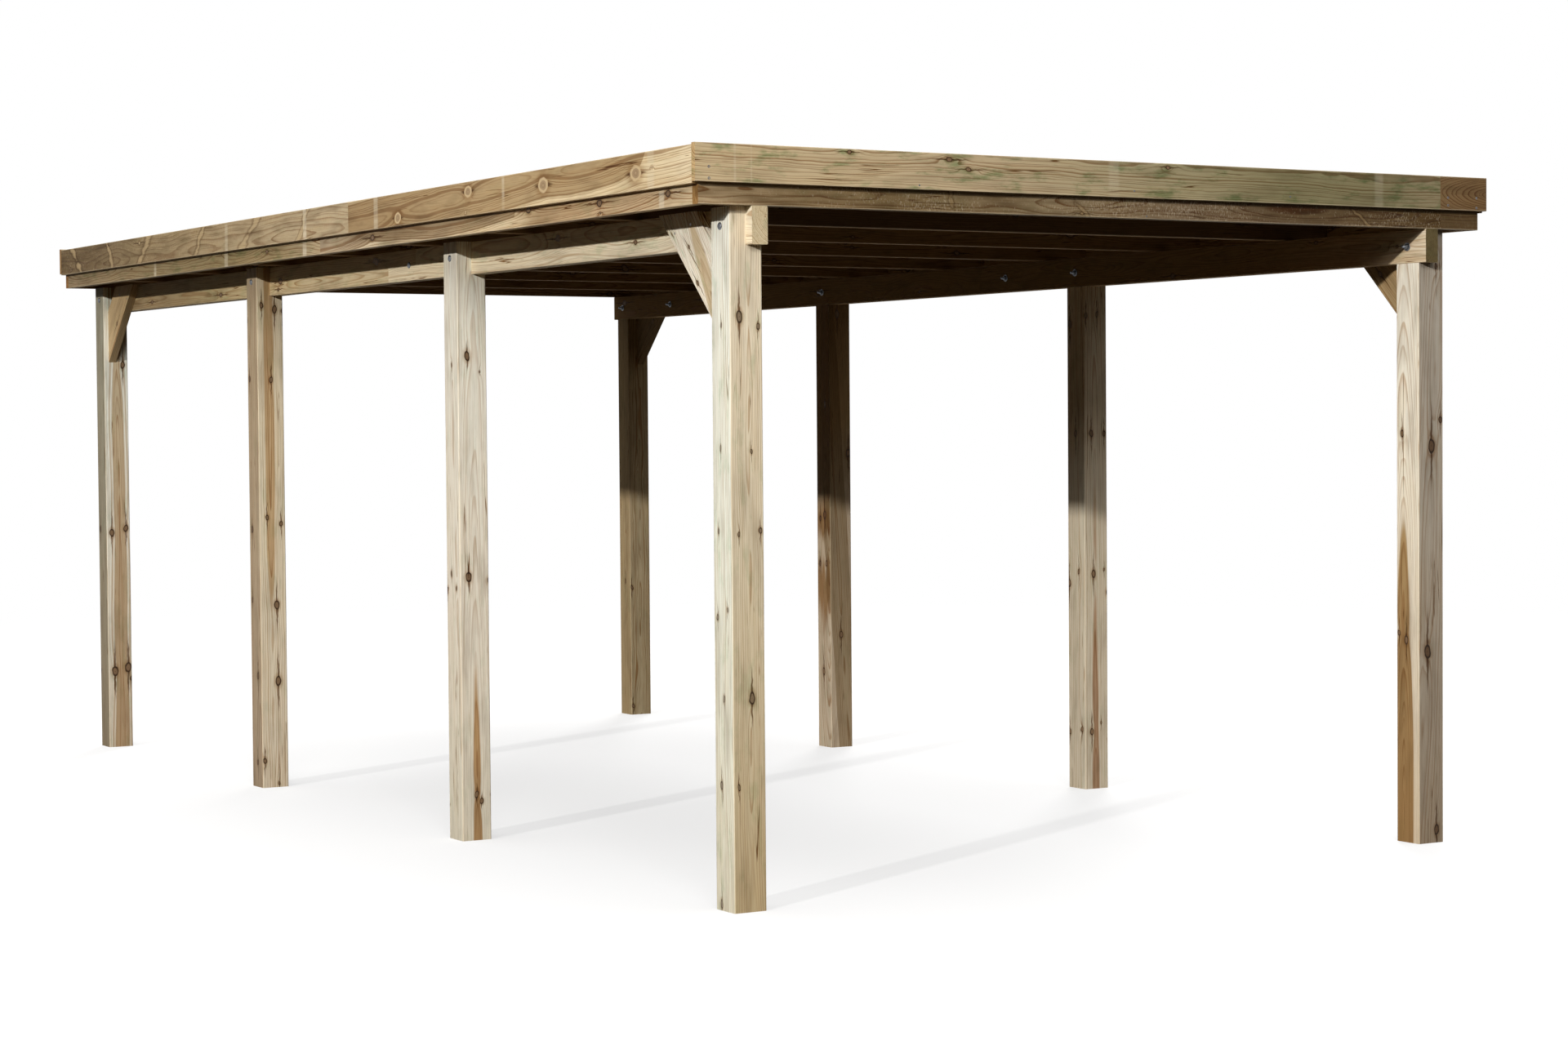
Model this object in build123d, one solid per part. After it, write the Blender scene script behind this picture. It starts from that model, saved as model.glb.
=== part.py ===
from build123d import *
from math import cos, radians, sin, tan
import os

# Timber carport with a flat roof, in millimetres.
# The origin is on the ground in the middle of the plan.
# X runs across the width, Y runs from the front to the rear, and Z points up.

# posts: planed square timber with eased arrises
post_size = 115
post_arris = 4
post_pitch = 1990
row_spacing = 2810
post_names = ["front", "second", "third", "rear"]

# beams: let into the inner side of the post heads, each in two lengths
clear_height = 2067
beam_height = 118
beam_thickness = 56
beam_arris = 3
splice_setback = 378
splice_length = 258
splice_depth_share = 0.5

# knee braces: sloping boards between the corner posts and the beams
brace_width = 170
brace_thickness = 36
brace_arris = 2
brace_slope_degrees = 45
brace_drop = 236
front_left_brace_drop = 262

# rafters, and the rim boards that close their ends
rafter_height = 118
rafter_thickness = 36
rafter_arris = 2
rafter_count = 7
side_overhang = 130
end_overhang = 38
side_rim_joint = 2962
end_rim_piece = 175

# fascia: thinner boards on the outside of the rim, set higher than it
fascia_height = 118
fascia_thickness = 22
fascia_arris = 1.5
fascia_step = 62
end_fascia_lift = 5
side_fascia_joint = 2628
end_fascia_piece = 219

# roof: boarded deck with a sheet of felt
deck_thickness = 19
felt_thickness = 3

# one overrun for every cut that passes right through
overrun = 10

# places that follow from the sizes
left, right = -1, 1
front, rear = -1, 1
post_half = post_size / 2
bay_count = len(post_names) - 1
row_x = row_spacing / 2
frame_y = bay_count * post_pitch / 2 + post_half
beam_top = clear_height + beam_height
post_outer_x = row_x + post_half
beam_inner_x = row_x - post_half
beam_outer_x = beam_inner_x + beam_thickness
rim_x = post_outer_x + side_overhang
rim_y = frame_y + end_overhang
rafter_x = rim_x - rafter_thickness
side_rim_y = rim_y - rafter_thickness
fascia_x = rim_x + fascia_thickness
fascia_y = rim_y + fascia_thickness
deck_bottom = beam_top + rafter_height
deck_top = deck_bottom + deck_thickness
fascia_bottom = beam_top + fascia_step

side_names = {left: "left", right: "right"}
end_names = {front: "front", rear: "rear"}


# a plain block between two corners, for sheets and cuts
def block(low, high):
    sizes = [b - a for a, b in zip(low, high)]
    centre = [(a + b) / 2 for a, b in zip(low, high)]
    return Pos(*centre) * Box(*sizes)


# a planed length of timber between two corners, with its four long arrises eased
def timber(low, high, grain, arris):
    return fillet(block(low, high).edges().filter_by(grain), arris)


# the same piece on the left or the right: everything is drawn on the right
def on_side(piece, side):
    return piece if side == right else mirror(piece, about=Plane.YZ)


# a post with the notch for the beam sawn out of the inner side of its head
def make_post(centre_y):
    low_y = centre_y - post_half
    high_y = centre_y + post_half
    shaft = timber((beam_inner_x, low_y, 0), (post_outer_x, high_y, beam_top), Axis.Z, post_arris)
    notch_low = (beam_inner_x - overrun, low_y - overrun, clear_height)
    notch_high = (beam_outer_x, high_y + overrun, beam_top + overrun)
    return shaft - block(notch_low, notch_high)


# one length of a beam: a stepped half lap joins it to the other, the rear length lying on the front one
def make_beam(end):
    splice_low = -frame_y + post_pitch + post_size + splice_setback
    splice_high = splice_low + splice_length
    splice_z = clear_height + splice_depth_share * beam_height
    if end == front:
        span_y = (-rim_y, splice_high)
        cut_low = (beam_inner_x - overrun, splice_low, splice_z)
        cut_high = (beam_outer_x + overrun, splice_high + overrun, beam_top + overrun)
    else:
        span_y = (splice_low, rim_y)
        cut_low = (beam_inner_x - overrun, splice_low - overrun, clear_height - overrun)
        cut_high = (beam_outer_x + overrun, splice_high, splice_z)
    low = (beam_inner_x, span_y[0], clear_height)
    high = (beam_outer_x, span_y[1], beam_top)
    return timber(low, high, Axis.Y, beam_arris) - block(cut_low, cut_high)


# a knee brace: plumb cut at the post, level cut at the top of the beam, lying on the beam's outer face
def make_brace(end, drop):
    slope = radians(brace_slope_degrees)
    plumb_cut = brace_width / cos(slope)
    rise = drop + beam_height
    run = rise / tan(slope)
    board = Polygon((0, 0), (run, rise), (run, rise + plumb_cut), (0, plumb_cut), align=None)
    outline = Plane.YZ * (board & Rectangle(run, rise, align=Align.MIN))
    brace = extrude(outline, brace_thickness, dir=Axis.X.direction)
    grain = Axis((0, 0, 0), (0, cos(slope), sin(slope)))
    brace = fillet(brace.edges().filter_by(grain), brace_arris)
    brace = Pos(beam_outer_x, post_size - frame_y, clear_height - drop) * brace
    return brace if end == front else mirror(brace, about=Plane.XZ)


# a board on edge in the roof, its grain along X or Y, from the height of its bottom edge
def make_board(x_span, y_span, bottom, height, grain, arris):
    low = (x_span[0], y_span[0], bottom)
    high = (x_span[1], y_span[1], bottom + height)
    return timber(low, high, grain, arris)


pieces = {}

# posts, beams and braces on both sides
for side in (left, right):
    for number, place in enumerate(post_names):
        post_y = -frame_y + post_half + number * post_pitch
        pieces[f"post_{side_names[side]}_{place}"] = on_side(make_post(post_y), side)
    for end in (front, rear):
        corner = f"{side_names[side]}_{end_names[end]}"
        drop = front_left_brace_drop if (side, end) == (left, front) else brace_drop
        pieces[f"beam_{corner}"] = on_side(make_beam(end), side)
        pieces[f"brace_{corner}"] = on_side(make_brace(end, drop), side)

# rafters, evenly spaced between the front and rear rim boards
rafter_pitch = (2 * rim_y - rafter_thickness) / (rafter_count + 1)
for number in range(1, rafter_count + 1):
    low_y = -rim_y + number * rafter_pitch
    span_y = (low_y, low_y + rafter_thickness)
    span_x = (-rafter_x, rafter_x)
    pieces[f"rafter_{number}"] = make_board(span_x, span_y, beam_top, rafter_height, Axis.X, rafter_arris)

# rim and fascia boards at the front and rear: a long board and a short one that makes up the width
for end in (front, rear):
    rim_span = sorted((end * rim_y, end * side_rim_y))
    fascia_span = sorted((end * fascia_y, end * rim_y))
    rim_joint = rim_x - end_rim_piece
    fascia_joint = fascia_x - end_fascia_piece
    lifted = fascia_bottom + end_fascia_lift
    rim_spans = {"": (-rim_x, rim_joint), "_end": (rim_joint, rim_x)}
    fascia_spans = {"": (-fascia_x, fascia_joint), "_end": (fascia_joint, fascia_x)}
    for tail, span in rim_spans.items():
        board = make_board(span, rim_span, beam_top, rafter_height, Axis.X, rafter_arris)
        pieces[f"rim_{end_names[end]}{tail}"] = board
    for tail, span in fascia_spans.items():
        board = make_board(span, fascia_span, lifted, fascia_height, Axis.X, fascia_arris)
        pieces[f"fascia_{end_names[end]}{tail}"] = board

# rim and fascia boards along the sides, each in two lengths
for side in (left, right):
    rim_joint = -frame_y + side_rim_joint
    fascia_joint = -frame_y + side_fascia_joint
    rim_spans = {front: (-side_rim_y, rim_joint), rear: (rim_joint, side_rim_y)}
    fascia_spans = {front: (-rim_y, fascia_joint), rear: (fascia_joint, rim_y)}
    for end in (front, rear):
        corner = f"{side_names[side]}_{end_names[end]}"
        rim_across = (rafter_x, rim_x)
        rim = make_board(rim_across, rim_spans[end], beam_top, rafter_height, Axis.Y, rafter_arris)
        fascia_across = (rim_x, fascia_x)
        along = fascia_spans[end]
        fascia = make_board(fascia_across, along, fascia_bottom, fascia_height, Axis.Y, fascia_arris)
        pieces[f"rim_{corner}"] = on_side(rim, side)
        pieces[f"fascia_{corner}"] = on_side(fascia, side)

# deck and felt inside the fascia
pieces["roof_deck"] = block((-rim_x, -rim_y, deck_bottom), (rim_x, rim_y, deck_top))
pieces["roof_felt"] = block((-rim_x, -rim_y, deck_top), (rim_x, rim_y, deck_top + felt_thickness))

os.makedirs("parts", exist_ok=True)
for name, piece in pieces.items():
    export_step(piece, f"parts/{name}.step")
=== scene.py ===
import math
import random
from functools import partial
import bmesh
import bpy
from mathutils import Matrix, Vector


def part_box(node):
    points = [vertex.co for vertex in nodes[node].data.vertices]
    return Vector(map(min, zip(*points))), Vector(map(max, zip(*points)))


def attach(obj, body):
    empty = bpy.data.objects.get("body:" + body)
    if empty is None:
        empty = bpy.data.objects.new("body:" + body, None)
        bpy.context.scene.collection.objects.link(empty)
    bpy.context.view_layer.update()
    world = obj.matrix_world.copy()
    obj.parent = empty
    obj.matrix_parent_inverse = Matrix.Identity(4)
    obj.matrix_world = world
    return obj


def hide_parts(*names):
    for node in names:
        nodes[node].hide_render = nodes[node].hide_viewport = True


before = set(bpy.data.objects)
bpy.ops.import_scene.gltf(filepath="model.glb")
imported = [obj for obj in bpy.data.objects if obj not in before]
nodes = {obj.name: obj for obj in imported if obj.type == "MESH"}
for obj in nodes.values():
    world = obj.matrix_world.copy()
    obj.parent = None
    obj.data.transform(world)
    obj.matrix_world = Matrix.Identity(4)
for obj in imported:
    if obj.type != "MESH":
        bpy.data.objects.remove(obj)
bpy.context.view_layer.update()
scene = bpy.context.scene
mm = 0.001
print("frame loaded:", len(nodes), "nodes")


# colours are written as sRGB hex and turned to linear here
def toLinear(hexColour):
    shares = [int(hexColour[i:i + 2], 16) / 255 for i in (0, 2, 4)]
    return [s / 12.92 if s <= 0.04045 else ((s + 0.055) / 1.055) ** 2.4 for s in shares] + [1]


# fills in a node: an entry is a property, the stops of a ramp, a socket's value or a link
# a link is given as a socket, or as a node whose first live output is meant
def fillNode(node, entries):
    for key, value in entries.items():
        if isinstance(value, bpy.types.Node):
            value = next(socket for socket in value.outputs if socket.enabled)
        if key == "stops":
            elements = node.color_ramp.elements
            while len(elements) < len(value):
                elements.new(1)
            for element, (place, colour) in zip(elements, value.items()):
                element.position = place
                element.color = toLinear(colour) if isinstance(colour, str) else (colour, colour, colour, 1)
        elif isinstance(value, bpy.types.NodeSocket):
            node.id_data.links.new(value, node.inputs[key])
        elif isinstance(key, str) and hasattr(node, key):
            setattr(node, key, value)
        else:
            node.inputs[key].default_value = value


# adds one node with its settings and links; a Math node's operation stands beside its kind
def addNode(tree, kind, entries={}):
    kind, *operation = kind.split()
    node = tree.nodes.new("ShaderNode" + kind)
    for name in operation:
        node.operation = name
    fillNode(node, entries)
    return node


# a Mix node takes its share at 0 and its colours at 6 and 7; a MapRange node runs from 1 to 2 and gives 3 to 4
blend = {"data_type": "RGBA"}
tint = {"data_type": "RGBA", "blend_type": "MULTIPLY"}
smooth = {"interpolation_type": "SMOOTHSTEP"}


# a material: itself, the function that adds to it, its shader and the object's own coordinates
def startMaterial(name):
    material = bpy.data.materials.new(name)
    material.use_nodes = True
    tree = material.node_tree
    add = partial(addNode, tree)
    return material, add, tree.nodes["Principled BSDF"], add("TexCoord").outputs


# a node group with named sockets: itself, the function that adds to it, its inputs and its output node
def startGroup(name, inputs, outputs):
    group = bpy.data.node_groups.new(name, "ShaderNodeTree")
    for way, sockets in (("INPUT", inputs), ("OUTPUT", outputs)):
        for kind, labels in sockets.items():
            for label in labels.split():
                group.interface.new_socket(name=label, in_out=way, socket_type="NodeSocket" + kind)
    given, made = group.nodes.new("NodeGroupInput"), group.nodes.new("NodeGroupOutput")
    return group, partial(addNode, group), given.outputs, made


# noise drawn out along the grain: its sizes across and along it in millimetres, its detail and its roughness
noiseSizes = {
    "fibre": (2.5, 170, 2, 0.6), "streak": (9, 900, 2, 0.55), "patch": (60, 330, 3, 0.6), "blot": (38, 120, 4, 0.65),
    "scuff": (11, 5, 3, 0.7), "check": (17, 800, 1, 0.5), "ragged": (16, 26, 1, 0.5), "bent": (60, 150, 2, 0.5),
    "fringe": (30, 400, 2, 0.5),
}


def grainNoise(add, place, name):
    across, along, detail, roughness = noiseSizes[name]
    scaled = add("VectorMath MULTIPLY", {0: place, 1: (1 / across, 1 / across, 1 / along)})
    return add("TexNoise", {"Scale": 1, "Detail": detail, "Roughness": roughness, "Vector": scaled})


# a place pushed about by noise, up to a reach in millimetres either way
def pushed(add, place, grain, name, reach):
    noise = grainNoise(add, grain, name).outputs["Color"]
    push = add("VectorMath MULTIPLY_ADD", {0: noise, 1: (2 * reach,) * 3, 2: (-reach,) * 3})
    return add("VectorMath ADD", {0: place, 1: push})


# a branch that runs through a piece: how near it is, its dark spike along the grain, and the grain's flow round it
def makeKnotGroup():
    fields = {"Near": "Shape", "Spike": "Spikes", "Flow": "Flows"}
    vectors, floats = "Grain Run Offset " + " ".join(fields.values()), " ".join(fields)
    tree, add, given, made = startGroup("knot", {"Vector": vectors, "Float": floats}, {"Float": floats})
    cross = add("VectorMath CROSS_PRODUCT", {0: given["Grain"], 1: given["Run"]})
    away = add("VectorMath SUBTRACT", {0: cross, 1: given["Offset"]})
    # in this product x and y run along the grain and z across it, all counted in knot radii
    for label, shape in fields.items():
        shaped = add("VectorMath MULTIPLY", {0: away, 1: given[shape]})
        size = add("VectorMath LENGTH", {0: shaped})
        least = add("Math MINIMUM", {0: size, 1: given[label]})
        fillNode(made, {label: least})
    return tree


# planed softwood in the round: rings about a wandering pith, heartwood, fibres, streaks, stain, checks and knots
# all lengths are millimetres in the piece's own axes, x and y across the grain and z along it
def makeFigureGroup():
    tree, add, given, made = startGroup("pineFigure", {
        "Vector": "Grain Pith Tilt Waves",
        "Float": "Wander Wave Ring Heart HeartLow HeartHigh Figure Swell Mottle Green Streaks Scuffs Seed End "
                 "Near Spike Flow Spur",
        "Color": "Sapwood HeartTint LateTint EndTint KnotCore KnotRim",
    }, {"Color": "Color", "Float": "Roughness Height"})
    grain, seed = given["Grain"], given["Seed"]
    along = add("SeparateXYZ", {0: grain}).outputs["Z"]
    shift = add("VectorMath SCALE", {0: (310, 170, 1900), "Scale": seed})
    ownGrain = add("VectorMath ADD", {0: grain, 1: shift})  # no two pieces share their noise

    # the pith leans and wanders along the length, over about 0.8 m
    lean = add("VectorMath SCALE", {0: given["Tilt"], "Scale": along})
    wave = add("Math MULTIPLY_ADD", {0: along, 1: 1 / 800, 2: seed})
    drift = add("TexNoise", {"noise_dimensions": "1D", "Scale": 1, "Detail": 1, "W": wave})
    centred = add("VectorMath SUBTRACT", {0: drift.outputs["Color"], 1: (0.5, 0.5, 0.5)})
    drifted = add("VectorMath SCALE", {0: centred, "Scale": given["Wander"]})
    fromPith = add("VectorMath SUBTRACT", {0: grain, 1: given["Pith"]})
    fromLean = add("VectorMath SUBTRACT", {0: fromPith, 1: lean})
    fromDrift = add("VectorMath SUBTRACT", {0: fromLean, 1: drifted})
    section = add("VectorMath MULTIPLY", {0: fromDrift, 1: (1, 1, 0)})
    plain = add("VectorMath LENGTH", {0: section})

    # the rings wave, and swell round each knot
    wavePlace = add("VectorMath MULTIPLY", {0: ownGrain, 1: given["Waves"]})
    waves = add("TexNoise", {"Scale": 1, "Detail": 2, "Vector": wavePlace})
    level = add("Math SUBTRACT", {0: waves, 1: 0.5})
    waved = add("Math MULTIPLY_ADD", {0: level, 1: given["Wave"], 2: plain})
    flow = add("Math POWER", {0: 0.22, 1: given["Flow"]})
    radius = add("Math MULTIPLY_ADD", {0: flow, 1: given["Swell"], 2: waved})

    # ring widths differ by about a third, and so does the depth of each ring's latewood
    count = add("Math DIVIDE", {0: radius, 1: given["Ring"]})
    unevenPlace = add("Math MULTIPLY_ADD", {0: radius, 1: 1 / 22, 2: seed})
    uneven = add("TexNoise", {"noise_dimensions": "1D", "Scale": 1, "Detail": 1, "W": unevenPlace})
    ring = add("Math MULTIPLY_ADD", {0: uneven, 1: 2.4, 2: count})
    share = add("Math FRACT", {0: ring})
    whole = add("Math FLOOR", {0: ring})
    depth = add("TexWhiteNoise", {"noise_dimensions": "1D", "W": whole})
    depthShare = add("MapRange", {0: depth, 3: 0.45, 4: 1})
    lateStops = {0: 0.1, 0.08: 0, 0.45: 0.06, 0.7: 0.4, 0.84: 1, 0.95: 1, 1: 0.1}
    lateRamp = add("ValToRGB", {"stops": lateStops, 0: share})
    lateDepth = add("Math MULTIPLY", {0: lateRamp, 1: depthShare})
    late = add("Math MULTIPLY", {0: lateDepth, 1: given["Figure"]})

    # heartwood inside its own radius, with a crisp edge along a ring; it tapers off beyond its two ends
    below = add("Math SUBTRACT", {0: given["HeartLow"], 1: along})
    above = add("Math SUBTRACT", {0: along, 1: given["HeartHigh"]})
    beyond = add("Math MAXIMUM", {0: below, 1: above})
    past = add("Math MAXIMUM", {0: beyond, 1: 0})
    inHeart = add("Math SUBTRACT", {0: given["Heart"], 1: radius})
    tapered = add("Math SUBTRACT", {0: inHeart, 1: past})
    heart = add("MapRange", {**smooth, 0: tapered, 1: -2.5, 2: 2.5})

    # fibres about 2.5 mm wide, drawn that coarse so that they show
    fibre = grainNoise(add, ownGrain, "fibre")
    # long streaks about 9 mm wide, and slow patches of tone
    streak = grainNoise(add, ownGrain, "streak")
    streaks = add("MapRange", {**smooth, 0: streak, 1: 0.52, 2: 0.74, 4: given["Streaks"]})
    patch = grainNoise(add, ownGrain, "patch")
    # blotches of the copper treatment, stronger where a knot drinks it
    blot = grainNoise(add, ownGrain, "blot")
    blotNear = add("Math MULTIPLY_ADD", {0: flow, 1: 0.14, 2: blot})
    green = add("MapRange", {**smooth, 0: blotNear, 1: 0.5, 2: 0.72, 4: given["Green"]})
    # pale chalky scuffs, broken up by the saw's cross marks
    scuff = grainNoise(add, ownGrain, "scuff")
    scuffSum = add("Math MULTIPLY_ADD", {0: patch, 1: 0.5, 2: scuff})
    scuffs = add("MapRange", {**smooth, 0: scuffSum, 1: 0.78, 2: 0.98, 4: given["Scuffs"]})

    # colours, from the bare sapwood up
    heartwood = add("Mix", {**tint, 0: 1, 6: given["Sapwood"], 7: given["HeartTint"]})
    wood = add("Mix", {**blend, 0: heart, 6: given["Sapwood"], 7: heartwood})
    deep = add("Mix", {**tint, 0: late, 6: wood, 7: given["LateTint"]})
    streaked = add("Mix", {**tint, 0: streaks, 6: deep, 7: toLinear("cbae88")})
    toneStops = {0.28: "b9b0a4", 0.5: "fbf9f6", 0.7: "fff8ec"}
    toneRamp = add("ValToRGB", {"stops": toneStops, 0: patch})
    tone = add("Mix", {**tint, 0: given["Mottle"], 6: streaked, 7: toneRamp})
    fibreStops = {0.28: "e0d7ca", 0.48: "ffffff", 0.75: "fffcf6"}
    fibreRamp = add("ValToRGB", {"stops": fibreStops, 0: fibre})
    fibred = add("Mix", {**tint, 0: 0.8, 6: tone, 7: fibreRamp})
    stained = add("Mix", {**tint, 0: green, 6: fibred, 7: toLinear("a3c4a4")})
    scuffed = add("Mix", {**blend, 0: scuffs, 6: stained, 7: toLinear("cdbfa4")})
    ended = add("Mix", {**tint, 0: given["End"], 6: scuffed, 7: given["EndTint"]})

    # spurs, knots sawn along their length: a pale fuzzy band with darker sides
    spurFade = add("MapRange", {0: patch, 1: 0.35, 2: 0.65, 3: 0.35, 4: -0.15})
    spurAway = add("Math ADD", {0: given["Spur"], 1: spurFade})
    spurRamp = add("ValToRGB", {"stops": {0: 0.6, 0.3: 0.45, 0.62: 0}, 0: spurAway})
    spurred = add("Mix", {**blend, 0: spurRamp, 6: ended, 7: given["KnotCore"]})
    spurSide = add("ValToRGB", {"stops": {0.4: 0, 0.62: 0.55, 1: 0}, 0: spurAway})
    sided = add("Mix", {**tint, 0: spurSide, 6: spurred, 7: toLinear("927657")})

    # knots: a dark spike, a dark rim and a core with its own small rings
    spike = add("MapRange", {**smooth, 0: given["Spike"], 1: 0.45, 2: 1, 3: 0.9, 4: 0})
    spiked = add("Mix", {**tint, 0: spike, 6: sided, 7: toLinear("80634a")})
    halo = add("MapRange", {**smooth, 0: given["Near"], 1: 1, 2: 2.1, 3: 0.5, 4: 0})
    haloed = add("Mix", {**tint, 0: halo, 6: spiked, 7: toLinear("c2a27c")})
    knotStops = {0: 0.75, 0.14: 0.2, 0.34: 0, 0.46: 0.3, 0.58: 0.1, 0.74: 1, 1: 1}
    knotRamp = add("ValToRGB", {"stops": knotStops, 0: given["Near"]})
    knotTone = add("Mix", {**blend, 0: knotRamp, 6: given["KnotCore"], 7: given["KnotRim"]})
    inKnot = add("MapRange", {**smooth, 0: given["Near"], 1: 0.9, 2: 1.15, 3: 1, 4: 0})
    knotted = add("Mix", {**blend, 0: inKnot, 6: haloed, 7: knotTone})

    # drying checks: hairlines along the grain, in some places only
    checkLine = grainNoise(add, ownGrain, "check")
    checkOff = add("Math SUBTRACT", {0: checkLine, 1: 0.47})
    checkGap = add("Math ABSOLUTE", {0: checkOff})
    checkWhere = add("MapRange", {**smooth, 0: patch, 1: 0.54, 2: 0.62})
    checks = add("MapRange", {0: checkGap, 1: 0.006, 2: 0.016, 3: checkWhere, 4: 0})
    checked = add("Mix", {**tint, 0: checks, 6: knotted, 7: toLinear("94785c")})

    # latewood is denser and smoother, knots smoother still; relief in millimetres
    roughLate = add("Math MULTIPLY_ADD", {0: late, 1: -0.12, 2: 0.78})
    rough = add("Math MULTIPLY_ADD", {0: inKnot, 1: -0.14, 2: roughLate})
    reliefLate = add("Math MULTIPLY", {0: late, 1: 0.35})
    reliefFibre = add("Math MULTIPLY_ADD", {0: fibre, 1: 0.5, 2: reliefLate})
    reliefKnot = add("Math MULTIPLY_ADD", {0: inKnot, 1: 0.5, 2: reliefFibre})
    relief = add("Math MULTIPLY_ADD", {0: checks, 1: -0.9, 2: reliefKnot})
    fillNode(made, {"Color": checked, "Roughness": rough, "Height": relief})
    return tree


knotGroup = makeKnotGroup()
figureGroup = makeFigureGroup()

# turns from the part's axes to a piece's own
slant = math.sqrt(0.5)
grainTurns = {
    "z": Matrix.Identity(3),
    "y": Matrix(((0, 0, 1), (1, 0, 0), (0, 1, 0))),
    "x": Matrix(((0, 1, 0), (0, 0, 1), (1, 0, 0))),
    "rise": Matrix(((1, 0, 0), (0, slant, -slant), (0, slant, slant))),
    "fall": Matrix(((1, 0, 0), (0, slant, slant), (0, -slant, slant))),
}

# what any piece of the frame has unless its own settings say otherwise, in millimetres and the part's axes
# pith is from the piece's middle, tilt in mm a metre; tones run along the grain from its low end to its high end
# knots go by the axis of their face: place on the other two axes, radius; a way added makes one a spur sawn that way
pineDefaults = {
    "grain": "z", "pith": (20, 40, 0), "tilt": (0, 0, 0), "wander": 24, "wave": 10, "waveLength": 420, "ring": 5,
    "figure": 0.7, "swell": 10, "mottle": 0.7, "heart": 0, "heartSpan": (-9000, 9000), "heartTint": "dcc4a4",
    "lateTint": "bd9a74", "endTint": "cdb590", "green": 0.25, "streaks": 0.35, "scuffs": 0, "seed": 1,
    "tones": {0: "c2ad8a", 1: "d2c2a4"}, "sides": {}, "ends": {}, "knotCore": "80654b", "knotRim": "3d2c1d",
    "knotShape": (0.7, 0.7, 1), "spurShape": (0.6, 0.6, 0.6), "spikeShape": (0.085, 0.085, 2.4),
    "flowShape": (0.12, 0.12, 0.42), "knots": {}, "radial": False, "marks": [], "pitch": 0,
}
farOff = 9  # in knot radii, beyond any knot's reach
knotRise = 0.25  # how far a branch climbs along the grain as it grows out
raggedReach, bentReach, waveWidth = 4, 30, 55  # mm
boardShift = 30000  # mm of timber that the deck boards are taken from


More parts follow.
